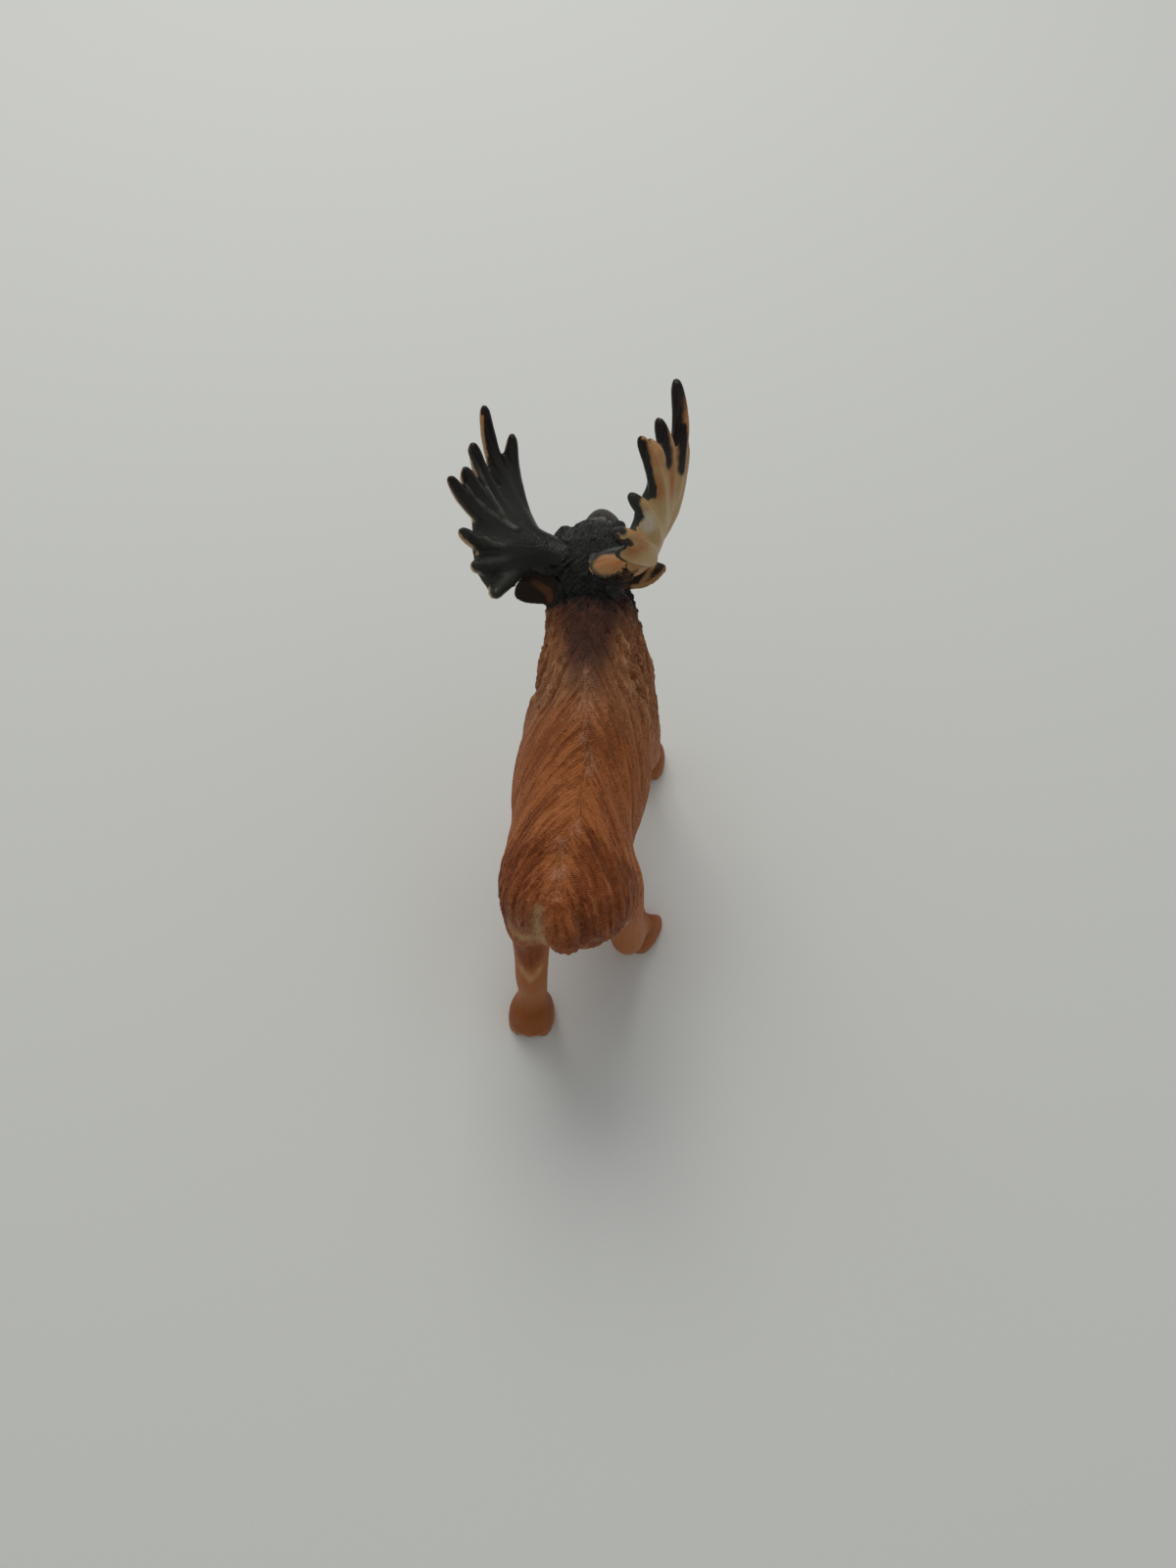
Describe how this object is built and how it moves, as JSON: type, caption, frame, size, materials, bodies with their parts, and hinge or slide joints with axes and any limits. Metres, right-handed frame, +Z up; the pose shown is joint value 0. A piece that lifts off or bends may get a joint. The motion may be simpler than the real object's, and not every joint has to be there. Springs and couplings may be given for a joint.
{
  "type": "moose figurine",
  "caption": "Moose figurine: a bull moose in a walking pose, its head lowered and its broad palmate antlers raised.",
  "frame": {"origin": "middle of the bounding box at the ground, under the belly", "axes": "+Z up, -Y toward the nose, +X to the animal's left"},
  "size_m": [0.049, 0.0982, 0.1057],
  "materials": {
    "brown_vinyl": "satin painted vinyl"
  },
  "bodies": {
    "root": {"moose": "brown_vinyl"}
  },
  "joints": []
}
